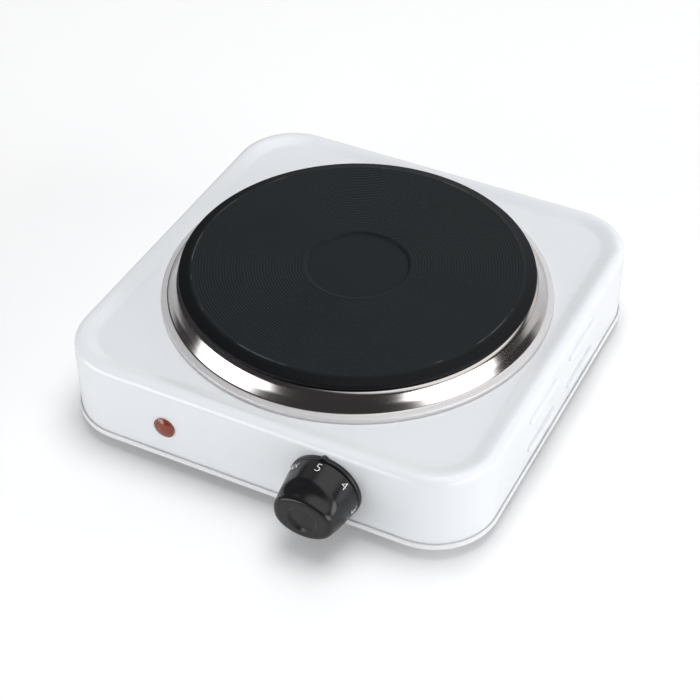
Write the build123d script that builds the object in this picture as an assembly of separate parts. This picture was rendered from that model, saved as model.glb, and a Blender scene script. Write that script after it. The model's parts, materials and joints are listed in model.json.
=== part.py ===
from build123d import *
from math import degrees, hypot
import os

# Single hot plate: a cast plate in a bright trim ring on a drawn steel case, with a dial on the front.
# Sizes are in millimetres. Up is +Z, the dial faces -Y and the feet stand on z = 0.

# Cast plate
plate_radius = 92.5  # outside of the rim
plate_top = 59.0  # top face above the underside of the base pan
plate_depth = 16.0  # top face to the flat underside
rim_height = 4.5  # top face to the underside of the rim
rim_bevel_width = 4.6  # plan width of the sloped edge of the top face
rim_bevel_drop = 2.4  # height of that slope
rim_round = 3.0  # rounding at both ends of the slope
skirt_step = 5.5  # rim overhang beyond the body of the plate
recess_radius = 27.0  # shallow round recess in the middle of the top face
recess_depth = 1.0
recess_edge = 0.8  # plan width of the recess's sloped edge
groove_pitch = 1.5  # turned rings on the top face
groove_width = 0.75
groove_depth = 0.2
groove_start = 2.5  # recess edge to the first ring
groove_end = 1.2  # last ring to the rounding of the rim, at least
pocket_depth = 8.0  # hollows in the underside, beside the heater grooves
pocket_wall = 3.0  # iron between a heater groove and a hollow
skirt_wall = 4.0  # outer wall of the plate's body
stud_boss = 12.0

# Trim ring
ring_sheet = 0.6
ring_collar_gap = 0.6  # collar's outside beyond the plate's rim
ring_collar_lean = 0.5  # how far the collar spreads towards its foot
ring_lip = 3.6  # width of the lip that carries the plate
ring_flange = 7.8  # width of the flange that lies on the panel
ring_hem = 1.3  # height of the flange over the panel
ring_shoulder = 1.3  # bend at the top of the collar
ring_foot_bend = 1.6  # bend at the foot of the collar
ring_edge_bend = 0.9  # bend of the outer edge

# Case
case_corner = 33.0  # outside corner radius in plan
case_height = 44.5  # underside of the base pan to the top of the border
case_sheet = 1.0
crest_radius = 4.5  # outside bend from wall to border
border_flat = 1.5  # level strip of the border
panel_slope = 6.3  # plan width of the slope from border to panel
panel_drop = 2.5  # depth of the panel below the border
panel_bend = 6.0  # bend at both ends of that slope
panel_margin = 1.0  # trim ring's edge to the slope
opening_lap = 4.0  # width of panel hidden under the ring, inside the collar
opening_turn = 1.5  # depth of the edge turned down round the opening

# Side louvres
louvre_length = 36.0
louvre_radius = 2.5  # height of the hood
louvre_sheet = 0.7
louvre_spacing = 52.0  # between the two columns
louvre_rise = 18.5  # between the two rows

# Base pan and feet
pan_sheet = 0.8
pan_lip = 3.2  # height of the upturned lip
pan_bend = 0.7
lip_gap = 0.3  # between the lip and the case wall
vent_length = 46.0
vent_width = 3.6
vent_pitch = 14.0
vent_rows = 6
vent_spread = 90.0  # between the two columns of slots
foot_height = 7.0
foot_inset = 27.0  # foot's axis to the outside of the walls
foot_top_radius = 8.5
foot_tip_radius = 7.0
foot_edge = 0.8
foot_bore_depth = 4.0  # counterbore for the screw's head
foot_screw_radius = 2.0
foot_screw_head = 3.6
foot_screw_head_height = 2.4
foot_screw_spare = 3.0  # screw's end beyond the gusset
gusset_sheet = 1.5
screw_room = 0.2  # round a screw in a clearance hole
thread_room = 0.05  # round a screw in its thread

# Heating element and the clamp under the plate
tube_radius = 3.2
tube_paths = (70.0, 46.0)  # mean radius of each heater ring
tube_sweep = 330.0  # degrees of arc in each ring
tube_start = -75.0  # degrees from +X to the first end, which leaves the gap at the front
tube_room = 0.2  # round the tube in its groove
tube_seal = 3.0  # tube's end to its pin
pin_radius = 1.5
pin_length = 9.0  # pin's end below the plate
cover_sheet = 0.8
cover_margin = 3.0  # cover's edge inside the plate's body
cover_turn = 3.0  # depth of the cover's turned edge
pin_room = 1.0  # round a pin in the cover
strap_width = 24.0
strap_sheet = 2.0
strap_drop = 5.0  # middle of the strap below its ends
strap_seat = 6.0  # length of each end that bears under the panel
strap_rise = 4.0  # plan length of each slope
strap_clear = 1.2  # slope's foot to the turned edge of the opening
strap_bend = 3.0
stud_radius = 3.0
stud_grip = 8.0  # thread inside the plate
stud_spare = 3.0  # thread below the nut
washer_radius = 8.0
washer_sheet = 1.2
nut_radius = 5.77  # over the corners
nut_height = 5.0

# Dial: everything here is measured from the outside of the front wall
dial_x = 40.3
dial_rise = 20.2  # dial's axis above the underside of the base pan
knob_reach = 25.0  # front of the knob
knob_radius = 18.9  # at the back of the skirt
knob_band_radius = 18.1  # at the front of the skirt
knob_front_radius = 14.8  # at the ends of the grip bar
knob_gap = 0.5  # between bezel and knob
knob_wall = 2.4
knob_edge = 2.4  # rounding of the bar's front
skirt_length = 8.0  # band that carries the dial marks
hollow_depth = 5.0  # hollow in the back of the knob
grip_half = 11.0  # half the width of the bar between the finger scoops
grip_crown = 20.5  # radius of the bar's sides, seen from the front
scoop_radius = 13.0
cap_radius = 6.5  # shallow recess in the front of the knob
cap_depth = 0.8
hub_radius = 5.5
hub_slot = 1.2
bore_depth = 13.0  # shaft inside the knob
clip_sheet = 0.6
clip_gap = 4.0
clip_length = 4.0
bezel_radius = 18.9
bezel_bore = 15.5
bezel_height = 2.3
bezel_edge = 0.8
nub_width = 3.4
nub_reach = 1.3
peg_radius = 1.2
peg_spare = 1.5  # peg's end behind the wall

# Thermostat behind the dial
shaft_radius = 3.0
shaft_flat = 2.3  # axis to the flat
shaft_fit = 0.05
shaft_tail = 1.0  # shaft's end beyond the bush
bush_radius = 4.5
bush_front = 2.0
bush_tail = 1.0
bush_flange = 5.5
bush_flange_height = 1.5
wall_room = 0.5  # round the bush in the wall
bracket_sheet = 1.2
bracket_stand = 5.0  # room between wall and bracket
bracket_width = 14.0
bracket_half_height = 6.5
bracket_ear = 15.0  # axis to the end of an ear
bracket_slope = 2.0
bracket_bend = 1.0
bracket_arm = 36.0  # axis to the end of the arm
mount_pitch = 11.0  # axis to each fixing screw
mount_screw_radius = 1.7
mount_head_radius = 3.0
mount_head_height = 2.0
mount_screw_spare = 3.0
stack_pitch = 28.0  # axis of the stack to the axis of the shaft
stack_radius = 5.0
rivet_radius = 1.6
rivet_head_radius = 3.0
rivet_head_height = 1.2
rivet_room = 0.2
insulator_base = 4.0  # thickness of each insulator, from the bracket inwards
insulator_contact = 3.0
insulator_bimetal = 4.0
insulator_cap = 2.5
blade_sheet = 0.5
blade_height = 7.0
blade_tail = 12.0  # stack's axis to the end of a blade's tab
blade_tip = 9.0  # shaft's axis to the free end of a blade
bimetal_sheet = 0.9
contact_radius = 2.0
contact_offset = 5.0  # shaft's axis to the contacts
pusher_radius = 1.4
pusher_gap = 0.45  # pusher's tip to the blade at rest
pusher_grip = 4.6  # pusher inside the shaft
pusher_travel_room = 1.2

# Pilot lamp
lamp_x = -49.0
lamp_rise = 20.5
lens_radius = 5.75
lens_reach = 2.8
lens_rim = 0.9
lens_stem_radius = 4.3
lens_stem = 8.0
lens_bore = 2.9
lens_crown = 1.8  # thickness at the crown of the lens
lamp_room = 0.2
lamp_body_radius = 5.2
lamp_body_length = 16.0
lamp_body_floor = 1.5
lamp_clip_radius = 8.0
lamp_clip_sheet = 0.6
neon_room = 0.3

# Cable inlet and wiring
inlet_rise = 20.0
inlet_bore = 3.75
inlet_lip = 3.0  # length of the bore that grips the cable
gland_bore = 5.0  # wider bore behind that lip
gland_reach = 4.0
gland_flange = 10.0
gland_neck = 7.0
gland_room = 0.2
gland_bevel = 1.5
gland_tail = 4.0
gland_tail_flange = 8.6
block_length = 30.0
block_width = 18.0
block_height = 14.0
block_gap = 14.0  # block to the rear wall
block_clear = 1.7  # block to the corner gusset
block_ways = 3
block_pitch = 9.0
block_tunnel = 2.1
block_well = 2.3
block_well_depth = 6.0
block_row = 9.0  # between the two rows of screws
block_screw_radius = 2.0
block_screw_height = 4.0
earth_offset = 30.0  # earth stud beside the block
earth_stud_radius = 2.0
earth_stud_base = 5.0
earth_base_height = 1.5
earth_stud_height = 11.0
earth_nut_radius = 4.04
earth_nut_height = 3.2

# Levels and lines that follow from the sizes
base_z = foot_height
floor_z = base_z + pan_sheet
crest_z = base_z + case_height
panel_z = crest_z - panel_drop
panel_under_z = panel_z - case_sheet
plate_z = base_z + plate_top
rim_z = plate_z - rim_height
plate_under_z = plate_z - plate_depth
cover_z = plate_under_z - cover_sheet
strap_z = panel_under_z - strap_drop
collar_radius = plate_radius + ring_collar_gap
ring_radius = collar_radius + ring_collar_lean + ring_flange
border_in = crest_radius + border_flat
panel_in = border_in + panel_slope
case_side = 2 * (ring_radius + panel_margin + panel_in)
case_half = case_side / 2
opening_radius = collar_radius - opening_lap
body_radius = plate_radius - skirt_step
foot_place = case_half - foot_inset
gusset_radius = foot_inset - case_sheet
inlet_x = -(foot_place - gusset_radius - block_clear - block_length / 2)
dial_z = base_z + dial_rise
lamp_z = base_z + lamp_rise
inlet_z = base_z + inlet_rise
knob_back = bezel_height + knob_gap
bracket_front = -case_sheet - bracket_stand
bracket_back = bracket_front - bracket_sheet
bush_back = bracket_back - bush_tail
shaft_back = bush_back - shaft_tail
adjust_blade_front = bracket_back - insulator_base
adjust_blade_back = adjust_blade_front - blade_sheet
moving_blade_front = adjust_blade_back - insulator_contact
moving_blade_back = moving_blade_front - blade_sheet
bimetal_front = moving_blade_back - insulator_bimetal
bimetal_back = bimetal_front - bimetal_sheet
stack_back = bimetal_back - insulator_cap
cut = 2.0  # how far a cutter runs past the face that it opens

# The origin lies under the middle of the whole footprint, knob and gland included.
case_y = (knob_reach - gland_reach) / 2

# Local planes on the walls: x along the wall, y up, z outwards
dial_plane = Plane((dial_x, -case_half, dial_z), x_dir=(1, 0, 0), z_dir=(0, -1, 0))
lamp_plane = Plane((lamp_x, -case_half, lamp_z), x_dir=(1, 0, 0), z_dir=(0, -1, 0))
inlet_plane = Plane((inlet_x, case_half, inlet_z), x_dir=(-1, 0, 0), z_dir=(0, 1, 0))


def rod(radius, low, high):
    """Cylinder on the local z axis between two levels."""
    return Pos(0, 0, low) * extrude(Circle(radius), high - low)


def tube(outer, inner, low, high):
    """Straight tube on the local z axis between two levels."""
    return Pos(0, 0, low) * extrude(Circle(outer) - Circle(inner), high - low)


def turned(line):
    """Solid turned about the local z axis from a closed outline in radius and height."""
    return revolve(Plane.XZ * make_face(line), Axis.Z)


def bent_sheet(points, bends, thickness, side):
    """Section of a bent sheet: its outer line with rounded corners, thickened to one side."""
    line = FilletPolyline(*points, radius=bends)
    return make_face(offset(line, amount=thickness, side=side, closed=True))


def wall_outline(outset):
    """Rounded square of the case walls, moved outwards by the given distance."""
    side = case_side + 2 * outset
    return RectangleRounded(side, side, case_corner + outset)


def corners():
    """Plan positions of the four feet."""
    return GridLocations(2 * foot_place, 2 * foot_place, 2, 2)


def copies(places, solid):
    """Separate copies of a solid, one at each place."""
    return Part() + places * solid


# Case


def half_slot(length, radius):
    """Upper half of a slot, lying on the local x axis."""
    return SlotOverall(length, 2 * radius) & (Pos(0, radius / 2) * Rectangle(length, radius))


def louvre_planes():
    """One local plane for each louvre, two columns by two rows on the left and right walls."""
    middle = base_z + case_height / 2
    planes = []
    for wall in (1, -1):
        for y in (-louvre_spacing / 2, louvre_spacing / 2):
            for z in (middle - louvre_rise / 2, middle + louvre_rise / 2):
                planes.append(Plane((wall * case_half, y, z), x_dir=(0, wall, 0), z_dir=(wall, 0, 0)))
    return planes


def louvre_hood():
    """Pressed hood: half a hollow slot turned a quarter circle from the wall out over its mouth."""
    outer = half_slot(louvre_length, louvre_radius)
    inner = half_slot(louvre_length - 2 * louvre_sheet, louvre_radius - louvre_sheet)
    return Pos(0, 0, -case_sheet / 2) * revolve(outer - inner, Axis.X, 90)


def louvre_mouth():
    """Opening in the wall behind a hood."""
    inner = half_slot(louvre_length - 2 * louvre_sheet, louvre_radius - louvre_sheet)
    return Pos(0, 0, -case_sheet - cut) * extrude(inner, case_sheet + cut)


def top_shell():
    """Drawn steel case: walls, border and slope swept round the plan, then the panel and its opening."""
    lap = panel_in + panel_bend
    section = bent_sheet(
        [(0, floor_z), (0, crest_z), (-border_in, crest_z), (-panel_in, panel_z), (-lap, panel_z)],
        [crest_radius, panel_bend, panel_bend],
        case_sheet,
        Side.LEFT,
    )
    path = wall_outline(0).face().outer_wire()
    along = path % 0
    outwards = along.cross(Vector(0, 0, 1))
    shell = sweep(Plane(path @ 0, x_dir=outwards, z_dir=-along) * section, path=path)
    shell += Pos(0, 0, panel_under_z) * extrude(wall_outline(-lap), case_sheet)
    shell += tube(opening_radius + case_sheet, opening_radius, panel_under_z - opening_turn, panel_z)
    shell -= rod(opening_radius, panel_under_z - opening_turn - cut, panel_z + cut)
    for plane in louvre_planes():
        shell -= plane * louvre_mouth()
        shell += plane * louvre_hood()
    through = (-case_sheet - cut, cut)
    shell -= dial_plane * rod(bush_radius + wall_room, *through)
    shell -= dial_plane * copies(mount_spots(), rod(mount_screw_radius + screw_room, *through))
    shell -= dial_plane * bezel_pegs(screw_room, *through)
    shell -= lamp_plane * rod(lens_stem_radius + lamp_room, *through)
    shell -= inlet_plane * rod(gland_neck + gland_room, *through)
    return shell


def corner_gussets():
    """Flat gussets welded into the corners of the case, with the threads for the foot screws."""
    plate = wall_outline(-case_sheet)
    sheet = Sketch()
    for corner in corners():
        sheet += plate & (corner * Circle(gusset_radius))
        sheet -= corner * Circle(foot_screw_radius + thread_room)
    return Pos(0, 0, floor_z) * extrude(sheet, gusset_sheet)


def base_pan():
    """Tray under the case: its lip wraps the foot of the walls, with vent slots in the floor."""
    pan = Pos(0, 0, base_z) * extrude(wall_outline(lip_gap + pan_sheet), pan_lip)
    pan = fillet(pan.faces().sort_by(Axis.Z)[0].edges(), pan_bend)
    pan -= Pos(0, 0, floor_z) * extrude(wall_outline(lip_gap), pan_lip)
    holes = Sketch() + corners() * Circle(foot_screw_radius + screw_room)
    holes += GridLocations(vent_spread, vent_pitch, 2, vent_rows) * SlotOverall(vent_length, vent_width)
    return pan - Pos(0, 0, base_z - cut) * extrude(holes, pan_sheet + 2 * cut)


def foot():
    """Tapered rubber foot with a counterbore for its screw."""
    shape = Pos(0, 0, foot_height / 2) * Cone(foot_tip_radius, foot_top_radius, foot_height)
    shape = fillet(shape.faces().sort_by(Axis.Z)[0].edges(), foot_edge)
    shape -= rod(foot_screw_radius + screw_room, -cut, foot_height + cut)
    return shape - rod(foot_screw_head + 2 * screw_room, -cut, foot_bore_depth)


def foot_screws():
    """Screws through feet and pan into the gussets."""
    screw = rod(foot_screw_head, foot_bore_depth - foot_screw_head_height, foot_bore_depth)
    screw += rod(foot_screw_radius, foot_bore_depth, floor_z + gusset_sheet + foot_screw_spare)
    return copies(corners(), screw)


# Plate, trim ring, heater and clamp


def plate_outline():
    """Half section of the plate: turned top face, bevelled rim and stepped underside."""
    points = [(0, plate_z - recess_depth), (recess_radius - recess_edge, plate_z - recess_depth)]
    points += [(recess_radius, plate_z)]
    face_edge = plate_radius - rim_bevel_width
    first = recess_radius + groove_start
    for index in range(1 + int((face_edge - rim_round - groove_end - first) / groove_pitch)):
        middle = first + index * groove_pitch
        points += [(middle - groove_width / 2, plate_z)]
        points += [(middle, plate_z - groove_depth)]
        points += [(middle + groove_width / 2, plate_z)]
    rim = FilletPolyline(
        (face_edge - rim_round, plate_z),
        (face_edge, plate_z),
        (plate_radius, plate_z - rim_bevel_drop),
        (plate_radius, rim_z),
        radius=[rim_round, rim_round / 2],
    )
    under = [rim @ 1, (body_radius, rim_z), (body_radius, plate_under_z), (0, plate_under_z), points[0]]
    return Polyline(*points, rim @ 0) + rim + Polyline(*under)


def pocket_edges():
    """Inner and outer radius of each hollow in the underside, from the stud's boss to the outer wall."""
    rib = tube_radius + tube_room + pocket_wall
    ends = [stud_boss]
    for path in sorted(tube_paths):
        ends += [path - rib, path + rib]
    ends += [body_radius - skirt_wall]
    return zip(ends[0::2], ends[1::2])


def hotplate():
    """Cast plate: hollow underside with a groove for each heater ring and a threaded hole for the stud."""
    plate = turned(plate_outline())
    for inner, outer in pocket_edges():
        plate -= tube(outer, inner, plate_under_z - cut, plate_under_z + pocket_depth)
    groove = tube_radius + tube_room
    mouth = Pos(0, -(tube_radius + cut) / 2) * Rectangle(2 * groove, tube_radius + cut)
    for path in tube_paths:
        section = Pos(path, plate_under_z + tube_radius) * (Circle(groove) + mouth)
        plate -= revolve(Plane.XZ * section, Axis.Z)
    return plate - rod(stud_radius + thread_room, plate_under_z - cut, plate_under_z + stud_grip)


def trim_ring():
    """Bright ring pressed from sheet: lip under the plate's rim, collar, flange and turned edge."""
    section = bent_sheet(
        [
            (collar_radius - ring_lip, rim_z),
            (collar_radius, rim_z),
            (collar_radius + ring_collar_lean, panel_z + ring_hem),
            (ring_radius, panel_z + ring_hem),
            (ring_radius, panel_z),
        ],
        [ring_shoulder, ring_foot_bend, ring_edge_bend],
        ring_sheet,
        Side.RIGHT,
    )
    return revolve(Plane.XZ * section, Axis.Z)


def pin_spots(path):
    """Turn about the plate's axis of the two pins of one heater ring."""
    inset = degrees(tube_seal / path)
    return (tube_start + inset, tube_start + tube_sweep - inset)


def heater_tubes():
    """Sheathed heater rings in the plate's grooves, each with two pins that point down."""
    tubes = Part()
    for path in tube_paths:
        level = plate_under_z + tube_radius
        ring = revolve(Plane.XZ * Pos(path, level) * Circle(tube_radius), Axis.Z, tube_sweep)
        tubes += Rot(0, 0, tube_start) * ring
        for spot in pin_spots(path):
            tubes += Rot(0, 0, spot) * Pos(path, 0) * rod(pin_radius, plate_under_z - pin_length, level)
    return tubes


def element_cover():
    """Steel disc that holds the heater rings up, with a turned edge and a hole for each pin."""
    radius = body_radius - cover_margin
    cover = rod(radius, cover_z, plate_under_z)
    cover += tube(radius, radius - cover_sheet, cover_z - cover_turn, cover_z)
    cover -= rod(stud_radius + screw_room, cover_z - cut, plate_under_z + cut)
    for path in tube_paths:
        for spot in pin_spots(path):
            hole = rod(pin_radius + pin_room, cover_z - cut, plate_under_z + cut)
            cover -= Rot(0, 0, spot) * Pos(path, 0) * hole
    return cover


def clamp_strap():
    """Bent bar under the plate: its ends bear under the panel beside the opening."""
    foot_x = opening_radius + case_sheet + strap_clear
    seat_x = foot_x + strap_rise
    end_x = seat_x + strap_seat
    section = bent_sheet(
        [
            (-end_x, panel_under_z),
            (-seat_x, panel_under_z),
            (-foot_x, strap_z),
            (foot_x, strap_z),
            (seat_x, panel_under_z),
            (end_x, panel_under_z),
        ],
        [strap_bend] * 4,
        strap_sheet,
        Side.RIGHT,
    )
    strap = extrude(Plane.XZ * section, strap_width / 2, both=True)
    return strap - rod(stud_radius + screw_room, strap_z - strap_sheet - cut, strap_z + cut)


def plate_stud():
    """Threaded stud from the plate down through the strap."""
    low = strap_z - strap_sheet - washer_sheet - nut_height - stud_spare
    return rod(stud_radius, low, plate_under_z + stud_grip)


def stud_washer():
    """Plain washer under the strap."""
    high = strap_z - strap_sheet
    return tube(washer_radius, stud_radius + screw_room, high - washer_sheet, high)


def stud_nut():
    """Hexagon nut that draws the plate down."""
    high = strap_z - strap_sheet - washer_sheet
    nut = RegularPolygon(nut_radius, 6) - Circle(stud_radius + thread_room)
    return Pos(0, 0, high - nut_height) * extrude(nut, nut_height)


# Dial


def mount_spots():
    """Places of the two thermostat screws, above and below the shaft."""
    return GridLocations(0, 2 * mount_pitch, 1, 2)


def bezel_pegs(room, low, high):
    """Two pegs, left and right, that hold the bezel in the wall."""
    pitch = bezel_radius + bezel_bore
    return copies(GridLocations(pitch, 0, 2, 1), rod(peg_radius + room, low, high))


def index_bezel():
    """Fixed ring behind the knob, with the index nub on top and a notch that clears the pan's lip."""
    ring = tube(bezel_radius, bezel_bore, 0, bezel_height)
    ring = fillet(ring.faces().sort_by(Axis.Z)[-1].outer_wire().edges(), bezel_edge)
    nub = Pos(0, bezel_radius + nub_reach - nub_width) * SlotCenterToCenter(nub_width, nub_width, 90)
    ring += extrude(nub - Circle(bezel_bore), bezel_height)
    ring += bezel_pegs(0, -case_sheet - peg_spare, 0)
    lip_top = base_z + pan_lip + lip_gap - dial_z
    notch = Pos(0, lip_top - bezel_radius) * Rectangle(2 * bezel_radius, 2 * bezel_radius)
    return dial_plane * (ring - extrude(notch, lip_gap + pan_sheet + lip_gap))


def scoop_centre():
    """Height and level of a scoop's round section, which runs from the bar's front to the skirt's edge."""
    bar = Vector(grip_half, knob_reach)
    band = Vector(knob_band_radius, knob_back + skirt_length)
    middle = (bar + band) * 0.5
    half = hypot(band.X - bar.X, band.Y - bar.Y) / 2
    lift = (scoop_radius**2 - half**2) ** 0.5
    return middle.X + lift * (bar.Y - band.Y) / (2 * half), middle.Y + lift * (band.X - bar.X) / (2 * half)


def shaft_section(room):
    """Round shaft with one flat, grown by the given clearance."""
    radius = shaft_radius + room
    flat = shaft_flat + room
    return Circle(radius) & (Pos(0, (radius - flat) / 2) * Rectangle(2 * radius, radius + flat))


def scooped_form():
    """Outside of the knob: a tapered turning with a ring-shaped scoop above and below the bar."""
    form = turned(
        Polyline(
            (0, knob_back),
            (knob_radius, knob_back),
            (knob_band_radius, knob_back + skirt_length),
            (knob_front_radius, knob_reach),
            (0, knob_reach),
            close=True,
        )
    )
    height, level = scoop_centre()
    ring_y = grip_half - grip_crown
    for side in (1, -1):
        form -= Pos(0, side * ring_y, level) * Torus(height - ring_y, scoop_radius)
    return fillet(form.faces().sort_by(Axis.Z)[-1].edges(), knob_edge)


def knob():
    """Moulded knob: skirt and grip bar, with a bare recess in front, a hollow back and a split hub."""
    body = scooped_form() - rod(cap_radius, knob_reach - cap_depth, knob_reach + cut)
    body -= tube(knob_radius - knob_wall, hub_radius, knob_back - cut, knob_back + hollow_depth)
    body -= Pos(0, 0, knob_back - cut) * extrude(shaft_section(shaft_fit), bore_depth + cut)
    slot = Pos(0, hub_radius, knob_back) * Box(hub_slot, 2 * hub_radius, 2 * clip_length)
    return dial_plane * (body - slot)


def knob_clip():
    """Split spring band round the knob's hub."""
    band = tube(hub_radius + clip_sheet, hub_radius, knob_back, knob_back + clip_length)
    gap = Pos(0, hub_radius, knob_back + clip_length / 2) * Box(clip_gap, 2 * hub_radius, clip_length + cut)
    return dial_plane * (band - gap)


# Thermostat


def thermostat_bracket():
    """Bent frame behind the wall, with an arm that carries the stack of blades."""
    ear_foot = bracket_half_height + bracket_slope
    section = bent_sheet(
        [
            (bracket_ear, -case_sheet),
            (ear_foot, -case_sheet),
            (bracket_half_height, bracket_front),
            (-bracket_half_height, bracket_front),
            (-ear_foot, -case_sheet),
            (-bracket_ear, -case_sheet),
        ],
        [bracket_bend] * 4,
        bracket_sheet,
        Side.LEFT,
    )
    frame = extrude(Plane.YZ * section, bracket_width / 2, both=True)
    arm = Pos(-bracket_arm / 2, 0) * Rectangle(bracket_arm, 2 * bracket_half_height)
    frame += Pos(0, 0, bracket_back) * extrude(arm, bracket_sheet)
    through = (bracket_back - cut, cut)
    frame -= rod(bush_radius, *through)
    frame -= copies(mount_spots(), rod(mount_screw_radius + thread_room, *through))
    frame -= Pos(-stack_pitch, 0) * rod(rivet_radius + rivet_room, *through)
    return dial_plane * frame


def thermostat_screws():
    """Two screws through the wall into the bracket's ears."""
    screw = rod(mount_head_radius, 0, mount_head_height)
    screw += rod(mount_screw_radius, -case_sheet - bracket_sheet - mount_screw_spare, 0)
    return dial_plane * copies(mount_spots(), screw)


def thermostat_bush():
    """Flanged bush in the bracket, in which the shaft turns."""
    bush = rod(bush_radius, bush_back, bush_front)
    bush += rod(bush_flange, bracket_front, bracket_front + bush_flange_height)
    return dial_plane * (bush - rod(shaft_radius + shaft_fit, bush_back - cut, bush_front + cut))


def thermostat_shaft():
    """Shaft with a flat for the knob and a bore for the pusher."""
    shaft = rod(shaft_radius, shaft_back, knob_back)
    shaft += Pos(0, 0, knob_back) * extrude(shaft_section(0), bore_depth - screw_room)
    tip = adjust_blade_front + pusher_gap
    bore_end = shaft_back + pusher_grip + pusher_travel_room
    return dial_plane * (shaft - rod(pusher_radius + shaft_fit, tip, bore_end))


def adjuster_pin():
    """Ceramic pusher that the turning shaft drives against the first blade."""
    return dial_plane * rod(pusher_radius, adjust_blade_front + pusher_gap, shaft_back + pusher_grip)


def stack_piece(low, high):
    """Ceramic washer of the stack between two levels."""
    return Pos(-stack_pitch, 0) * tube(stack_radius, rivet_radius + rivet_room, low, high)


def ceramic_stack():
    """Ceramic washers that part the blades from each other and from the bracket."""
    stack = stack_piece(adjust_blade_front, bracket_back)
    stack += stack_piece(moving_blade_front, adjust_blade_back)
    stack += stack_piece(bimetal_front, moving_blade_back)
    stack += stack_piece(stack_back, bimetal_back)
    return dial_plane * stack


def blade(low, high, tail):
    """Flat blade held in the stack, with its free end past the shaft."""
    length = tail + stack_pitch + blade_tip
    shape = Pos(blade_tip - length / 2, 0) * RectangleRounded(length, blade_height, blade_height / 4)
    shape -= Pos(-stack_pitch, 0) * Circle(rivet_radius + rivet_room)
    return dial_plane * (Pos(0, 0, low) * extrude(shape, high - low))


def contact_points():
    """Pair of contact rivets, one on each contact blade."""
    middle = (adjust_blade_back + moving_blade_front) / 2
    points = rod(contact_radius, middle, adjust_blade_back)
    pair = Compound([points, rod(contact_radius, moving_blade_front, middle)])
    return dial_plane * Pos(contact_offset, 0) * pair


def stack_rivet():
    """Rivet that holds the stack on the bracket's arm."""
    rivet = rod(rivet_radius, stack_back, bracket_front)
    rivet += rod(rivet_head_radius, bracket_front, bracket_front + rivet_head_height)
    rivet += rod(rivet_head_radius, stack_back - rivet_head_height, stack_back)
    return dial_plane * Pos(-stack_pitch, 0) * rivet


# Pilot lamp


def lamp_lens():
    """Domed lens with a hollow stem through the wall."""
    dome = TangentArc((0, lens_reach), (lens_radius, lens_rim), tangent=(1, 0))
    rest = Polyline(
        (lens_radius, lens_rim),
        (lens_radius, 0),
        (lens_stem_radius, 0),
        (lens_stem_radius, -lens_stem),
        (lens_bore, -lens_stem),
        (lens_bore, lens_reach - lens_crown),
        (0, lens_reach - lens_crown),
        (0, lens_reach),
    )
    return lamp_plane * turned(dome + rest)


def lamp_body():
    """Closed holder that snaps on the end of the lens's stem."""
    end = -lens_stem - lamp_body_length
    body = rod(lamp_body_radius, end, -lens_stem)
    return lamp_plane * (body - rod(lens_bore, end + lamp_body_floor, -lens_stem + cut))


def lamp_clip():
    """Spring washer that holds the lamp behind the wall."""
    clip = tube(lamp_clip_radius, lens_stem_radius + thread_room, -case_sheet - lamp_clip_sheet, -case_sheet)
    return lamp_plane * clip


def neon_bulb():
    """Small glow bulb inside the lamp."""
    radius = lens_bore - neon_room
    low = -lens_stem - lamp_body_length + lamp_body_floor
    bulb = rod(radius, low, -radius)
    return lamp_plane * fillet(bulb.faces().sort_by(Axis.Z)[-1].edges(), radius / 2)


# Cable inlet and wiring


def cable_gland():
    """Moulded gland snapped into the rear wall: a lip that grips the cable, with a wider bore behind it."""
    outline = Polyline(
        (inlet_bore, gland_reach),
        (gland_flange - gland_bevel, gland_reach),
        (gland_flange, gland_reach - gland_bevel),
        (gland_flange, 0),
        (gland_neck, 0),
        (gland_neck, -case_sheet),
        (gland_tail_flange, -case_sheet),
        (gland_tail_flange - gland_bevel, -case_sheet - gland_tail),
        (gland_bore, -case_sheet - gland_tail),
        (gland_bore, gland_reach - inlet_lip),
        (inlet_bore, gland_reach - inlet_lip),
        close=True,
    )
    return inlet_plane * turned(outline)


def block_spot():
    """Place of the terminal block on the pan's floor, in line with the cable inlet."""
    return Pos(inlet_x, case_half - case_sheet - block_gap - block_width / 2, floor_z)


def terminal_block():
    """Three-way terminal block with a wire tunnel and two screw wells in each way."""
    block = Pos(0, 0, block_height / 2) * Box(block_length, block_width, block_height)
    block = fillet(block.edges().filter_by(Axis.Z), block_screw_radius)
    level = block_height - block_well_depth
    tunnel = Pos(0, 0, level) * Rot(90, 0, 0) * Cylinder(block_tunnel, block_width + cut)
    block -= copies(GridLocations(block_pitch, 0, block_ways, 1), tunnel)
    wells = Sketch() + GridLocations(block_pitch, block_row, block_ways, 2) * Circle(block_well)
    return block_spot() * (block - Pos(0, 0, level) * extrude(wells, block_well_depth + cut))


def terminal_screws():
    """Clamp screws in the wells of the terminal block."""
    low = block_height - block_well_depth
    screws = Sketch() + GridLocations(block_pitch, block_row, block_ways, 2) * Circle(block_screw_radius)
    return block_spot() * Pos(0, 0, low) * extrude(screws, block_screw_height)


def earth_stud():
    """Earth stud welded to the pan's floor."""
    stud = rod(earth_stud_base, 0, earth_base_height) + rod(earth_stud_radius, 0, earth_stud_height)
    return block_spot() * Pos(earth_offset, 0) * stud


def earth_nut():
    """Hexagon nut on the earth stud."""
    nut = RegularPolygon(earth_nut_radius, 6) - Circle(earth_stud_radius + thread_room)
    return block_spot() * Pos(earth_offset, 0, earth_base_height) * extrude(nut, earth_nut_height)


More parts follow.
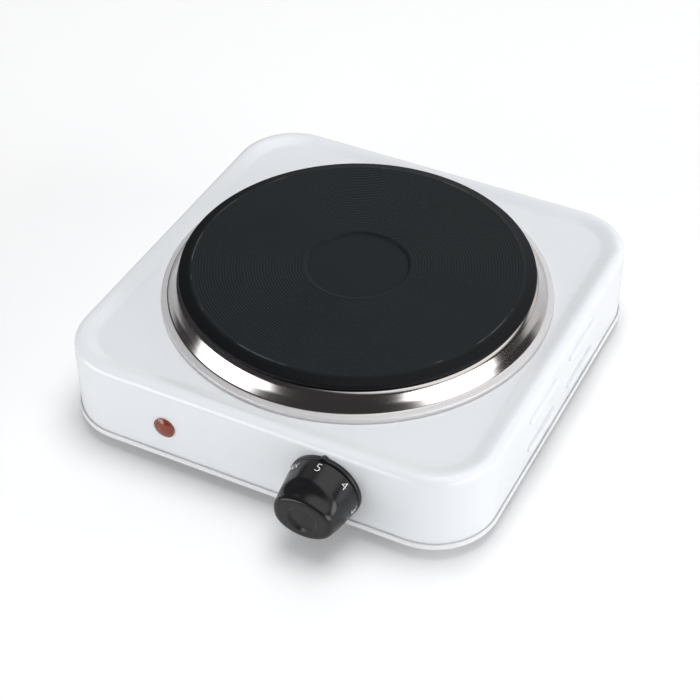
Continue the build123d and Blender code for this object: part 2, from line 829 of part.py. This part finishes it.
pieces = {
    "top_shell": top_shell(),
    "corner_gussets": corner_gussets(),
    "base_pan": base_pan(),
    "foot_screws": foot_screws(),
    "hotplate": hotplate(),
    "trim_ring": trim_ring(),
    "heater_tubes": heater_tubes(),
    "element_cover": element_cover(),
    "clamp_strap": clamp_strap(),
    "plate_stud": plate_stud(),
    "stud_washer": stud_washer(),
    "stud_nut": stud_nut(),
    "index_bezel": index_bezel(),
    "knob": knob(),
    "knob_clip": knob_clip(),
    "thermostat_bracket": thermostat_bracket(),
    "thermostat_screws": thermostat_screws(),
    "thermostat_bush": thermostat_bush(),
    "thermostat_shaft": thermostat_shaft(),
    "adjuster_pin": adjuster_pin(),
    "ceramic_stack": ceramic_stack(),
    "adjust_blade": blade(adjust_blade_back, adjust_blade_front, blade_tail),
    "moving_blade": blade(moving_blade_back, moving_blade_front, blade_tail),
    "bimetal_strip": blade(bimetal_back, bimetal_front, stack_radius),
    "contact_points": contact_points(),
    "stack_rivet": stack_rivet(),
    "lamp_lens": lamp_lens(),
    "lamp_body": lamp_body(),
    "lamp_clip": lamp_clip(),
    "neon_bulb": neon_bulb(),
    "cable_gland": cable_gland(),
    "terminal_block": terminal_block(),
    "terminal_screws": terminal_screws(),
    "earth_stud": earth_stud(),
    "earth_nut": earth_nut(),
}
foot_names = ("foot_front_left", "foot_rear_left", "foot_front_right", "foot_rear_right")
for foot_name, spot in zip(foot_names, corners()):
    pieces[foot_name] = spot * foot()

os.makedirs("parts", exist_ok=True)
for node, solid in pieces.items():
    export_step(Pos(0, case_y, 0) * solid, f"parts/{node}.step")
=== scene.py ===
import json
import math

import bpy
import numpy as np
from mathutils import Matrix, Vector


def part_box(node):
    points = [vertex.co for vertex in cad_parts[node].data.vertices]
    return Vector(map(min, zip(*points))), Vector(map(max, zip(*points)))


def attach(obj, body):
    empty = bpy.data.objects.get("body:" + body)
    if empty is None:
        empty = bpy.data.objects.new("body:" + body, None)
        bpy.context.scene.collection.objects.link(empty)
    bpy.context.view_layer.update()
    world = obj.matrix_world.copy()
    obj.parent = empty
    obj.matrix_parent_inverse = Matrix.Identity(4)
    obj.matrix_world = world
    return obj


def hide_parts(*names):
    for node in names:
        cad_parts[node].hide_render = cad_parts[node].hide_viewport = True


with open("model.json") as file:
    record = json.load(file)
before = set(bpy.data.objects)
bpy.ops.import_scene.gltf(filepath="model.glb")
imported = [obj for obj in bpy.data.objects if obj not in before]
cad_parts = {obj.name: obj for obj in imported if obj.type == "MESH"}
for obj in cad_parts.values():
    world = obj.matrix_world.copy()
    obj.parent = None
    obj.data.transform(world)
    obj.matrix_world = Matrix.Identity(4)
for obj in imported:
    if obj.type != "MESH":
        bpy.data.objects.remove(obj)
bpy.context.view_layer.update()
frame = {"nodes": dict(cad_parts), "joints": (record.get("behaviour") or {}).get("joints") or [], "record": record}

# Meshes and the camera are laid out in millimetres. Shaders and lamps are in metres, as the frame is.
MM = 0.001


def in_mm(place):
    """A place of the frame in millimetres, rounded to a micrometre."""
    return [round(value / MM, 3) for value in place]


# Places that the new pieces take from the frame
plate_low, plate_high = (in_mm(corner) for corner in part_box("hotplate"))
plate_y = (plate_low[1] + plate_high[1]) / 2
plate_z = plate_high[2]
pan_z = in_mm(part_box("base_pan")[0])[2]
dial_hinge = next(joint for joint in frame["joints"] if joint["name"] == "dial_turn")
dial_x, wall_y, dial_z = in_mm(dial_hinge["pos_m"])

# Sizes that more than one function needs
crease_radius = 84.9  # where the plate's level face turns into its bevelled rim
flange_radius = 98.0  # foot of the trim ring's collar
band_level = 10.8  # front of the knob's band of marks, out from the wall


# Shader building

class Socket:
    """An output of a shader node. Arithmetic on it adds Math nodes."""

    def __init__(self, shader, socket):
        self.shader = shader
        self.socket = socket

    def __add__(self, other):
        return self.shader.math("ADD", self, other)

    def __radd__(self, other):
        return self.shader.math("ADD", other, self)

    def __sub__(self, other):
        return self.shader.math("SUBTRACT", self, other)

    def __rsub__(self, other):
        return self.shader.math("SUBTRACT", other, self)

    def __mul__(self, other):
        return self.shader.math("MULTIPLY", self, other)

    def __rmul__(self, other):
        return self.shader.math("MULTIPLY", other, self)


class Shader:
    """The node tree of a material or of the world while it is being wired."""

    def __init__(self, owner):
        owner.use_nodes = True
        self.tree = owner.node_tree
        self.tree.nodes.clear()

    def node(self, kind, settings=None, inputs=None, output=0):
        """Adds a node of any kind: its settings first, then its sockets, each as a value or as a link."""
        node = self.tree.nodes.new(kind)
        for name, value in (settings or {}).items():
            setattr(node, name, value)
        for name, value in (inputs or {}).items():
            if isinstance(value, Socket):
                self.tree.links.new(value.socket, node.inputs[name])
            else:
                node.inputs[name].default_value = value
        return Socket(self, node.outputs[output]) if node.outputs else node

    def math(self, operation, *values):
        return self.node("ShaderNodeMath", {"operation": operation}, dict(enumerate(values)))

    def vector_math(self, operation, *values, output=0):
        return self.node("ShaderNodeVectorMath", {"operation": operation}, dict(enumerate(values)), output)

    def position(self):
        """Object coordinates, which are metres in the shared frame."""
        return self.node("ShaderNodeTexCoord", output="Object")

    def parts(self, vector):
        """The x, y and z of a vector."""
        node = self.node("ShaderNodeSeparateXYZ", inputs={0: vector}).socket.node
        return [Socket(self, socket) for socket in node.outputs]

    def join(self, x, y, z):
        return self.node("ShaderNodeCombineXYZ", inputs={0: x, 1: y, 2: z})

    def along(self, vector, way):
        """How far a vector reaches along a direction."""
        return self.vector_math("DOT_PRODUCT", vector, way, output="Value")

    def from_plate_axis(self):
        """Distance from the cooking plate's axis, and the level unit vector away from it, without a seam."""
        x, y, _ = self.parts(self.position())
        flat = self.join(x, y - plate_y * MM, 0.0)
        return self.vector_math("LENGTH", flat, output="Value"), self.vector_math("NORMALIZE", flat)

    def ray(self, kind):
        """1 for light paths of one kind, such as Camera or Glossy, and 0 for others."""
        return self.node("ShaderNodeLightPath", output=f"Is {kind} Ray")

    def noise(self, vector, scale, detail=2.0):
        return self.node("ShaderNodeTexNoise", inputs={"Vector": vector, "Scale": scale, "Detail": detail})

    def ramp(self, value, low, high):
        """0 below low, 1 above high, and a smooth step between them."""
        settings = {"interpolation_type": "SMOOTHSTEP"}
        return self.node("ShaderNodeMapRange", settings, {0: value, 1: low, 2: high, 3: 0.0, 4: 1.0})

    def mix(self, factor, first, second):
        """Colour between two colours."""
        colours = [c if isinstance(c, Socket) else (*c, 1.0) for c in (first, second)]
        inputs = {0: factor, 6: colours[0], 7: colours[1]}
        return self.node("ShaderNodeMix", {"data_type": "RGBA"}, inputs, 2)

    def bump(self, height, strength, distance):
        inputs = {"Strength": strength, "Distance": distance, "Height": height}
        return self.node("ShaderNodeBump", inputs=inputs)

    def glow(self, colour, strength):
        """Light that comes from the world itself."""
        colour = colour if isinstance(colour, Socket) else (*colour, 1.0)
        return self.node("ShaderNodeBackground", inputs={"Color": colour, "Strength": strength})

    def finish(self, **inputs):
        """Ends a material in a Principled shader; names use _ for a space."""
        named = {name.replace("_", " "): value for name, value in inputs.items()}
        shader = self.node("ShaderNodeBsdfPrincipled", inputs=named)
        self.node("ShaderNodeOutputMaterial", inputs={"Surface": shader})


# Materials

def material(name):
    """A new material, and the shader that wires it."""
    made = bpy.data.materials.new(name)
    return made, Shader(made)


def enamel(name, light, dark, roughness):
    """Fired or baked coat: faint clouding, a very fine orange peel and a clear gloss."""
    made, s = material(name)
    cloud = s.noise(s.position(), scale=14.0, detail=3.0)
    peel = s.noise(s.position(), scale=700.0)
    s.finish(
        Base_Color=s.mix(cloud, light, dark),
        Roughness=roughness + 0.10 * cloud,
        Coat_Weight=0.5,
        Coat_Roughness=0.06,
        Normal=s.bump(peel, strength=0.06, distance=0.0002),
    )
    return made


def plate_iron():
    """Turned cast iron under a dark coat: fine rings, a plain rim bevel darkened as painted shade, and a painted
    highlight along the crease, broken into spots.
    """
    made, s = material("plate_iron")
    radius, _ = s.from_plate_axis()
    crease = crease_radius * MM
    rings = s.noise(s.join(radius, 0.0, 0.0), scale=2600.0)
    grain = s.noise(s.position(), scale=1500.0, detail=3.0)
    cloud = s.noise(s.position(), scale=22.0, detail=3.0)
    face = s.mix(0.55 * cloud + 0.45 * rings, (0.0072, 0.0098, 0.0113), (0.0120, 0.0155, 0.0173))
    # Painted shade: beyond the crease the rim bevel is given a darker colour than the face.
    coat = s.mix(s.ramp(radius, crease + 0.0004, crease + 0.0023), face, (0.0044, 0.0050, 0.0062))
    # Painted highlight: a thin pale line along the crease, broken into spots by noise.
    before = s.ramp(radius, crease - 0.0002, crease + 0.0002)
    beyond = s.ramp(radius, crease + 0.0004, crease + 0.0008)
    spots = s.ramp(s.noise(s.position(), scale=55.0, detail=4.0), 0.50, 0.66)
    painted_crease_glint = before * (1.0 - beyond) * spots
    s.finish(
        Base_Color=s.mix(0.9 * painted_crease_glint, coat, (0.075, 0.080, 0.083)),
        Roughness=0.40 + 0.14 * grain,
        Specular_IOR_Level=0.13,
        Normal=s.bump(0.7 * rings + 0.3 * grain, strength=0.12, distance=0.0003),
    )
    return made


def trim_steel():
    """Bright pressed steel: drawn round the collar, paler and brushed outwards on the flange."""
    made, s = material("trim_steel")
    radius, out = s.from_plate_axis()
    _, _, z = s.parts(s.position())
    foot = flange_radius * MM
    flange = s.ramp(radius, foot - 0.0001, foot + 0.0007)
    spokes = s.noise(out, scale=260.0, detail=3.0)
    bands = s.noise(s.join(z, radius, 0.0), scale=1800.0)
    cloud = s.noise(s.position(), scale=30.0)
    brush = flange * spokes + (1.0 - flange) * bands
    s.finish(
        Base_Color=s.mix(flange * (0.6 + 0.4 * spokes), (0.60, 0.57, 0.56), (0.72, 0.71, 0.715)),
        Metallic=1.0 - 0.55 * flange,
        Roughness=0.09 + 0.34 * flange + 0.05 * cloud + 0.05 * brush,
        Normal=s.bump(brush, strength=0.03, distance=0.0001),
    )
    return made


def bare_metal(name, light, dark, roughness):
    """Plain metal with upright drawn marks and slight staining."""
    made, s = material(name)
    drawn = s.vector_math("MULTIPLY", s.position(), (1.0, 1.0, 0.08))
    marks = s.noise(drawn, scale=900.0, detail=3.0)
    stain = s.noise(s.position(), scale=120.0, detail=3.0)
    s.finish(
        Base_Color=s.mix(0.6 * stain + 0.4 * marks, light, dark),
        Metallic=1.0,
        Roughness=roughness + 0.15 * stain,
        Normal=s.bump(marks, strength=0.08, distance=0.0001),
    )
    return made


def moulded(name, light, dark, roughness, grain, coat=0.0, specular=0.5):
    """Moulded plastic, rubber or ceramic: a fine skin, and slight changes of tone and gloss."""
    made, s = material(name)
    skin = s.noise(s.position(), scale=1400.0)
    cloud = s.noise(s.position(), scale=70.0, detail=3.0)
    s.finish(
        Base_Color=s.mix(0.7 * cloud + 0.3 * skin, light, dark),
        Roughness=roughness + 0.12 * cloud,
        Specular_IOR_Level=specular,
        Coat_Weight=coat,
        Coat_Roughness=0.04,
        Normal=s.bump(skin, strength=grain, distance=0.0002),
    )
    return made


def clear(name, light, dark, roughness, passing):
    """Tinted clear plastic or glass, deeper in colour where the cloud is dense."""
    made, s = material(name)
    cloud = s.noise(s.position(), scale=260.0)
    s.finish(
        Base_Color=s.mix(cloud, light, dark),
        Roughness=roughness + 0.06 * cloud,
        Transmission_Weight=passing,
        IOR=1.49,
        Coat_Weight=0.6,
    )
    return made


def printed_white():
    """White ink, a little uneven in tone and gloss."""
    made, s = material("dial_print")
    wear = s.noise(s.position(), scale=900.0, detail=3.0)
    ink = s.mix(wear, (0.95, 0.95, 0.94), (0.86, 0.86, 0.85))
    s.finish(Base_Color=ink, Roughness=0.45 + 0.15 * wear)
    return made


# Light and dark colour and roughness of each material slot, then what its function takes besides
ENAMELS = {
    "enamel": ((0.800, 0.822, 0.850), (0.775, 0.797, 0.824), 0.24),
    "pan_enamel": ((0.84, 0.85, 0.86), (0.78, 0.79, 0.80), 0.32),
}
METALS = {
    "zinc_steel": ((0.62, 0.63, 0.64), (0.46, 0.47, 0.49), 0.28),
    "heater_sheath": ((0.33, 0.34, 0.34), (0.20, 0.19, 0.18), 0.45),
    "spring_steel": ((0.52, 0.52, 0.53), (0.40, 0.40, 0.42), 0.25),
    "brass_turned": ((0.78, 0.62, 0.32), (0.60, 0.45, 0.22), 0.24),
    "contact_silver": ((0.80, 0.80, 0.80), (0.62, 0.62, 0.62), 0.20),
}
MOULDINGS = {
    "knob_black": ((0.009, 0.009, 0.010), (0.014, 0.014, 0.015), 0.16, 0.03, 0.12, 0.33),
    "bezel_black": ((0.012, 0.012, 0.013), (0.018, 0.018, 0.019), 0.28, 0.05),
    "gland_black": ((0.030, 0.030, 0.032), (0.045, 0.045, 0.047), 0.50, 0.10),
    "lamp_white": ((0.85, 0.84, 0.80), (0.78, 0.77, 0.72), 0.45, 0.06),
    "block_white": ((0.82, 0.82, 0.80), (0.75, 0.75, 0.73), 0.45, 0.06),
    "steatite": ((0.88, 0.85, 0.78), (0.80, 0.76, 0.68), 0.60, 0.12),
    "foot_rubber": ((0.040, 0.040, 0.040), (0.060, 0.060, 0.060), 0.65, 0.20),
}
CLEARS = {
    "lens_red": ((0.39, 0.072, 0.027), (0.24, 0.030, 0.012), 0.14, 0.30),
    "bulb_glass": ((0.95, 0.82, 0.72), (0.90, 0.72, 0.60), 0.04, 0.85),
}
finishes = {"plate_iron": plate_iron(), "trim_steel": trim_steel()}
for make, slots in ((enamel, ENAMELS), (bare_metal, METALS), (moulded, MOULDINGS), (clear, CLEARS)):
    for slot_name, values in slots.items():
        finishes[slot_name] = make(slot_name, *values)


# Meshes

def add_mesh(name, points, faces, body, slot_name, finish=None):
    """Adds a piece from points in millimetres, with its slot's finish unless it has one of its own."""
    mesh = bpy.data.meshes.new(name)
    mesh.from_pydata(points * MM, [], faces)
    mesh.update()
    mesh.shade_smooth()
    piece = bpy.data.objects.new(name, mesh)
    bpy.context.scene.collection.objects.link(piece)
    mesh.materials.append(finish or finishes[slot_name])
    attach(piece, body)
    return piece


def grid_faces(rows, columns, wrap_rows=False, wrap_columns=True):
    """Corner numbers of a grid's quads. The grid may close from its last row or column to its first."""
    row = np.arange(rows if wrap_rows else rows - 1)[:, None]
    column = np.arange(columns if wrap_columns else columns - 1)
    down = (row + 1) % rows
    along = (column + 1) % columns
    corners = [down * columns + column, down * columns + along, row * columns + along, row * columns + column]
    return np.stack(corners, -1).reshape(-1, 4).tolist()


def globe_faces(rings, columns):
    """Faces of a row of rings with a point at each end. The two points follow all the rings' points."""
    start = np.arange(columns)
    after = (start + 1) % columns
    last = (rings - 1) * columns
    point = np.full(columns, rings * columns)
    first_cap = np.stack([point, start, after], -1)
    last_cap = np.stack([point + 1, last + after, last + start], -1)
    return grid_faces(rings, columns) + first_cap.tolist() + last_cap.tolist()


def revolve(section, steps):
    """Points of a half section, each a radius and a height, carried round the plate's axis in equal steps."""
    angle = np.linspace(0, 2 * np.pi, steps, endpoint=False)
    radius = section[:, :1]
    height = np.broadcast_to(section[:, 1:], (len(section), steps))
    return np.stack([radius * np.cos(angle), radius * np.sin(angle) + plate_y, height], -1).reshape(-1, 3)


def bend(before, corner, after, radius, steps):
    """Points of the arc that rounds a corner of a half section, on the circle that touches both legs."""
    before, corner, after = (np.array(point) for point in (before, corner, after))
    first = (before - corner) / np.linalg.norm(before - corner)
    second = (after - corner) / np.linalg.norm(after - corner)
    half = np.arccos(np.dot(first, second)) / 2
    middle = corner + (first + second) / np.linalg.norm(first + second) * radius / np.sin(half)
    start = corner + first * radius / np.tan(half) - middle
    finish = corner + second * radius / np.tan(half) - middle
    sweep = np.arctan2(start[0] * finish[1] - start[1] * finish[0], np.dot(start, finish))
    turn = np.linspace(0, sweep, steps)[:, None]
    side = np.array([-start[1], start[0]])
    return middle + start * np.cos(turn) + side * np.sin(turn)


def trim_ring():
    """The pressed ring as a surface of revolution.

    The sheet's outside is a line whose corners are rounded by arcs. It runs from the lip over a wide
    shoulder, down the collar, which leans outwards as a cove, and along the flange to its turned edge.
    The inside is the same line moved by the sheet's thickness along the line's own normal.
    """
    sheet, steps = 0.6, 256
    # Radius and drop below the plate's top, and for each corner its bend's radius and number of points
    lip, hem = (89.0, 4.55), (101.6, 16.95)
    corners = {
        "shoulder": ((91.8, 4.55), 5.0, 32),
        "cove": ((95.5, 10.4), 25.0, 24),
        "foot": ((flange_radius, 13.8), 1.6, 20),
        "edge": ((101.3, 14.4), 0.9, 12),
    }
    stops = [lip, *(place for place, _, _ in corners.values()), hem]
    knots = [(radius, plate_z - drop) for radius, drop in stops]
    arcs = [
        bend(*knots[index : index + 3], radius, count)
        for index, (_, radius, count) in enumerate(corners.values())
    ]
    outside = np.concatenate([knots[:1], *arcs, knots[-1:]])
    along = np.gradient(outside, axis=0)
    along /= np.linalg.norm(along, axis=1, keepdims=True)
    inside = outside + sheet * np.stack([along[:, 1], -along[:, 0]], -1)
    section = np.concatenate([outside, inside[::-1]])
    faces = grid_faces(len(section), steps, wrap_rows=True)
    piece = add_mesh("steel_ring", revolve(section, steps), faces, "base", "trim_steel")
    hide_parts("trim_ring")


def grooved_face():
    """Half section of the plate's level face with its turned grooves.

    Each groove lowers the face by the depth times the square of a raised cosine of the radius over the
    pitch, and the grooves fade out at both ends of the face.
    """
    start, end, count, fade_width = 28.7, 84.4, 500, 0.6
    groove_middle, pitch, depth = 29.5, 1.5, 0.14
    radius = np.linspace(start, end, count)
    wave = 0.5 + 0.5 * np.cos(2 * np.pi * (radius - groove_middle) / pitch)
    fade = np.clip(np.minimum(radius - start, end - radius) / fade_width, 0, 1)
    return np.stack([radius, plate_z - depth * wave**2 * fade], -1)


def arc(radius, height, bend_radius, start, end, count):
    """Points of an arc of a half section about its middle, between two angles in degrees off the upright."""
    turn = np.radians(np.linspace(start, end, count))
    return np.stack([radius + bend_radius * np.sin(turn), height + bend_radius * np.cos(turn)], -1)


def plate_rim():
    """Half section of the plate's rim: an arc at the crease, a straight bevel and an arc to the edge."""
    bevel_slope, crease_bend = 16.6, 2.5
    edge_bend, edge_middle, edge_drop = 1.6, 90.4, 3.2
    crease = arc(crease_radius, plate_z - crease_bend, crease_bend, 0, bevel_slope, 7)
    edge = arc(edge_middle, plate_z - edge_drop, edge_bend, bevel_slope, 90, 11)
    return np.concatenate([crease, edge])


def cooking_plate():
    """The plate as a surface of revolution.

    Its half section starts on the axis in the round recess, rises to the grooved face by a smooth step,
    the cubic 3tt - 2ttt, goes over the rim and comes back to the axis along the underside.
    """
    recess_flat, recess_radius, recess_edge, recess_depth = 25.5, 26.0, 1.2, 1.0
    floor_radius = np.linspace(0.0, recess_flat, 12)
    recess = np.stack([floor_radius, np.full_like(floor_radius, plate_z - recess_depth)], -1)
    step = np.linspace(0, 1, 8)
    rise = recess_depth * step**2 * (3 - 2 * step)
    wall = np.stack([recess_radius + recess_edge * step, plate_z - recess_depth + rise], -1)
    # Radius and drop below the top of the undercut rim, the skirt with its broken corners and the bottom
    below = [(91.8, 3.6), (90.8, 4.5), (87.2, 4.5), (87.0, 4.7), (87.0, 15.7), (86.7, 16.0), (0.0, 16.0)]
    under = np.array([(radius, plate_z - drop) for radius, drop in below])
    section = np.concatenate([recess, wall, grooved_face(), plate_rim(), under])
    steps = 192
    ends = [[0.0, plate_y, height] for height in section[[0, -1], 1]]
    points = np.concatenate([revolve(section[1:-1], steps), ends])
    faces = globe_faces(len(section) - 2, steps)
    piece = add_mesh("cooking_plate", points, faces, "base", "plate_iron")
    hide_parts("hotplate")


def rounded_max(first, second, width):
    """The larger of two values, rounded off where they are closer than width."""
    near = np.clip(width - np.abs(first - second), 0, None) / width
    return np.maximum(first, second) + near * near * width / 4


def knob_value(x, y, level):
    """Below zero inside the knob: the rounded common part of cones and planes, less two scoops and a recess.

    x runs along the wall, y up and level out of the wall. Each cone and plane gives its signed distance.
    Each scoop is part of a torus and gives its tube's radius less the distance from its circle. All are
    joined by their rounded largest value.
    """
    back, reach = 2.8, 25.0
    back_radius, band_radius, front_radius = 18.9, 18.0, 15.6
    grip_half, grip_crown = 12.4, 20.5
    scoop_start, scoop_radius = 15.5, 9.5
    recess_radius, recess_floor, recess_slope = 7.1, 23.7, 2.0
    band_round, scoop_round, front_round, recess_round, back_round = 2.0, 1.6, 2.8, 0.3, 0.8

    out = np.hypot(x, y)
    band_lean = math.atan2(back_radius - band_radius, band_level - back)
    nose_lean = math.atan2(band_radius - front_radius, reach - band_level)
    band = (out - band_radius) * math.cos(band_lean) + (level - band_level) * math.sin(band_lean)
    nose = (out - band_radius) * math.cos(nose_lean) + (level - band_level) * math.sin(nose_lean)
    form = rounded_max(band, nose, band_round)

    # The tube's circle passes through the scoop's start on the cone and its end at the front of the grip
    start_radius = band_radius - (scoop_start - band_level) * math.tan(nose_lean)
    chord = np.array([start_radius - grip_half, scoop_start - reach])
    half = np.linalg.norm(chord) / 2
    lift = math.sqrt(scoop_radius**2 - half**2) / (2 * half)
    scoop_y = (start_radius + grip_half) / 2 - chord[1] * lift
    scoop_level = (scoop_start + reach) / 2 + chord[0] * lift
    crown_y = grip_half - grip_crown
    for side in (1, -1):
        from_axis = np.hypot(x, y - side * crown_y) - (scoop_y - crown_y)
        from_circle = np.hypot(from_axis, level - scoop_level)
        form = rounded_max(form, scoop_radius - from_circle, scoop_round)

    form = rounded_max(form, level - reach, front_round)
    recess = np.minimum(level - recess_floor, (recess_radius - out) * recess_slope)
    form = rounded_max(form, recess, recess_round)
    return rounded_max(form, back - level, back_round)


def knob_skin():
    """The knob as seen from a point on its axis.

    Rays leave that point over a grid of directions, and on each ray the edge of the form is found by
    halving the interval between inside and outside.
    """
    rings, columns, origin = 218, 240, 12.0
    longest_ray, halvings = 40.0, 40
    tilt = np.linspace(0, np.pi, rings + 2)[1:-1, None]
    round_angle = np.linspace(0, 2 * np.pi, columns, endpoint=False)
    across = np.sin(tilt) * np.cos(round_angle)
    up = np.sin(tilt) * np.sin(round_angle)
    forward = np.broadcast_to(np.cos(tilt), across.shape)
    poles = [[0.0, 0.0, 1.0], [0.0, 0.0, -1.0]]
    ways = np.concatenate([np.stack([across, up, forward], -1).reshape(-1, 3), poles])
    near = np.zeros(len(ways))
    far = np.full(len(ways), longest_ray)
    for _ in range(halvings):
        middle = (near + far) / 2
        inside = knob_value(ways[:, 0] * middle, ways[:, 1] * middle, origin + ways[:, 2] * middle) < 0
        near = np.where(inside, middle, near)
        far = np.where(inside, far, middle)
    local = ways * near[:, None]
    points = np.stack([dial_x + local[:, 0], wall_y - origin - local[:, 2], dial_z + local[:, 1]], -1)
    piece = add_mesh("knob_skin", points, globe_faces(rings, columns), "dial", "knob_black")
    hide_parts("knob")


def flat_text(text, size, thickness):
    """Points and faces of a word in the built-in font, slightly thinned and laid flat about its middle."""
    curve = bpy.data.curves.new("mark", "FONT")
    curve.body = text
    curve.align_x = "CENTER"
    curve.align_y = "CENTER"
    curve.size = size
    curve.extrude = thickness / 2
    curve.offset = -0.02 * size
    curve.resolution_u = 8
    holder = bpy.data.objects.new("mark", curve)
    bpy.context.scene.collection.objects.link(holder)
    bpy.context.view_layer.update()
    flat = bpy.data.meshes.new_from_object(holder.evaluated_get(bpy.context.evaluated_depsgraph_get()))
    points = np.empty(len(flat.vertices) * 3)
    flat.vertices.foreach_get("co", points)
    faces = [tuple(face.vertices) for face in flat.polygons]
    bpy.data.objects.remove(holder)
    bpy.data.curves.remove(curve)
    bpy.data.meshes.remove(flat)
    return points.reshape(-1, 3), faces


def dial_mark(text, turn, ink):
    """A printed mark on the knob's band, a cone: across goes round the axis, and up goes to the wall."""
    digit_size, word_size, thickness = 6.9, 4.6, 0.04
    mark_level, mark_radius = 7.3, 18.4
    front_radius, widening = 18.15, 0.1
    points, faces = flat_text(text, digit_size if len(text) == 1 else word_size, thickness)
    across, up, lift = points.T
    level = mark_level - up
    radius = front_radius + widening * (band_level - level) + lift
    angle = math.radians(turn) + across / mark_radius
    wrapped = [dial_x + radius * np.sin(angle), wall_y - level, dial_z + radius * np.cos(angle)]
    add_mesh("dial_mark_" + text.lower(), np.stack(wrapped, -1), faces, "dial", "lamp_white", ink)


def dress_nodes():
    """Gives each solid the finish of its material slot."""
    for subpart in frame["record"]["subparts"]:
        piece = frame["nodes"][subpart["node"]]
        piece.data.materials.clear()
        piece.data.materials.append(finishes[subpart["material_slot"]])


# Stage, light and camera

def floor():
    """A wide white floor that mirror rays see as grey, and as nearly black to the rear left."""
    half_side, level, count = 6000.0, -0.2, 41
    steps = np.linspace(-half_side, half_side, count)
    x, y = np.meshgrid(steps, steps, indexing="ij")
    points = np.stack([x, y, np.full_like(x, level)], -1).reshape(-1, 3)
    mesh = bpy.data.meshes.new("floor")
    mesh.from_pydata(points * MM, [], grid_faces(count, count, wrap_columns=False))
    piece = bpy.data.objects.new("floor", mesh)
    bpy.context.scene.collection.objects.link(piece)
    made, s = material("floor")
    paper = s.noise(s.position(), scale=3.0)
    tint = s.mix(paper, (0.985, 0.985, 0.985), (1.0, 1.0, 1.0))
    rear_left = s.along(s.position(), (-0.72, 0.69, 0.0))
    mirrored = s.mix(s.ramp(rear_left, 0.18, 0.30), (0.75, 0.74, 0.74), (0.10, 0.10, 0.10))
    s.finish(Base_Color=s.mix(s.ray("Glossy"), tint, mirrored), Roughness=1.0, Specular_IOR_Level=0.0)
    mesh.materials.append(made)


# The room that mirror surfaces see: the way to each pale card, the cosines between which it fades in, and its
# brightness. Heights are stretched first, which flattens the cards.
ROOM_STRETCH = (1.0, 1.0, 1.7)
ROOM_CARDS = {
    "rear wall": ((0.055, 0.984, 0.168), 0.743, 0.848, 0.85),
    "overhead card": ((0.287, 0.145, 0.947), 0.86, 0.96, 1.3),
    "right card": ((0.949, -0.222, 0.225), 0.839, 0.906, 4.0),
    "left card": ((-0.677, -0.722, 0.139), 0.857, 0.927, 4.0),
}


def sky():
    """White to the camera and through clear pieces, a soft fill to matt ones and a dim room to mirrors."""
    world = bpy.data.worlds.new("room")
    bpy.context.scene.world = world
    s = Shader(world)
    way = s.node("ShaderNodeTexCoord", output="Generated")
    way = s.vector_math("NORMALIZE", s.vector_math("MULTIPLY", way, ROOM_STRETCH))
    room = (0.050, 0.046, 0.048)
    for toward, low, high, level in ROOM_CARDS.values():
        room = s.mix(s.ramp(s.along(way, toward), low, high), room, (level, level, level))
    fill = s.glow((0.97, 0.98, 1.0), strength=0.36)
    lit = s.node("ShaderNodeMixShader", inputs={0: s.ray("Glossy"), 1: fill, 2: s.glow(room, strength=1.0)})
    seen = s.math("MAXIMUM", s.ray("Camera"), s.ray("Transmission"))
    white = s.glow((1.0, 1.0, 1.0), strength=1.0)
    both = s.node("ShaderNodeMixShader", inputs={0: seen, 1: lit, 2: white})
    s.node("ShaderNodeOutputWorld", inputs={"Surface": both})


# Lamps: place, the point that they face, width and height in metres, watts, and whether mirrors show them
LAMPS = {
    "right": ((1.42, 0.05, 0.32), (0.0, 0.0, 0.03), 1.4, 0.6, 11.8, False),
    "left": ((-0.75, -1.25, 0.28), (0.0, 0.0, 0.03), 1.7, 0.6, 9.0, False),
    "back": ((-0.62, 1.20, 1.15), (0.0, 0.0, 0.05), 2.0, 1.5, 3.6, True),
    "above": ((0.10, 0.15, 1.70), (0.0, 0.0, 0.05), 1.1, 1.1, 15.0, False),
}


def softbox(name, place, aim, width, height, power, mirrored):
    """A rectangular lamp that faces a point and may be kept out of mirror reflections."""
    lamp = bpy.data.lights.new(name, "AREA")
    lamp.shape = "RECTANGLE"
    lamp.size = width
    lamp.size_y = height
    lamp.energy = power
    holder = bpy.data.objects.new(name, lamp)
    holder.location = place
    holder.visible_glossy = mirrored
    holder.rotation_euler = (Vector(aim) - Vector(place)).to_track_quat("-Z", "Y").to_euler()
    bpy.context.scene.collection.objects.link(holder)


def camera():
    """The photograph's own view: turned, raised and rolled about the middle of the base pan's underside."""
    turn, rise, roll = (math.radians(angle) for angle in (26.845, 41.2391, -0.2606))
    distance, shift_right, shift_up = 941.975, -4.0766, 0.1597
    picture_px, focal_px, sensor = 700, 1763.19, 36.0
    back = Vector((math.sin(turn) * math.cos(rise), -math.cos(turn) * math.cos(rise), math.sin(rise)))
    right = (-back).cross(Vector((0, 0, 1))).normalized()
    up = right.cross(-back)
    place = Vector((0, plate_y, pan_z)) + back * distance + right * shift_right + up * shift_up
    across = right * math.cos(roll) + up * math.sin(roll)
    above = up * math.cos(roll) - right * math.sin(roll)
    matrix = Matrix((across, above, back)).transposed().to_4x4()
    matrix.translation = place * MM
    lens = bpy.data.cameras.new("camera")
    lens.sensor_width = sensor
    lens.lens = sensor * focal_px / picture_px
    lens.clip_start = 0.05
    lens.clip_end = 20.0
    holder = bpy.data.objects.new("camera", lens)
    holder.matrix_world = matrix
    bpy.context.scene.collection.objects.link(holder)
    bpy.context.scene.camera = holder


# Degrees from the index nub to each mark with the dial at rest, clockwise as seen from the front
DIAL_MARKS = {"MAX": -50, "5": 0, "4": 47, "3": 94, "2": 141, "1": 188, "OFF": 250}

dress_nodes()
trim_ring()
cooking_plate()
knob_skin()
dial_print = printed_white()
for text, turn in DIAL_MARKS.items():
    dial_mark(text, turn, dial_print)
floor()
sky()
for name, values in LAMPS.items():
    softbox(name, *values)
camera()
bpy.context.scene.view_settings.view_transform = "Standard"
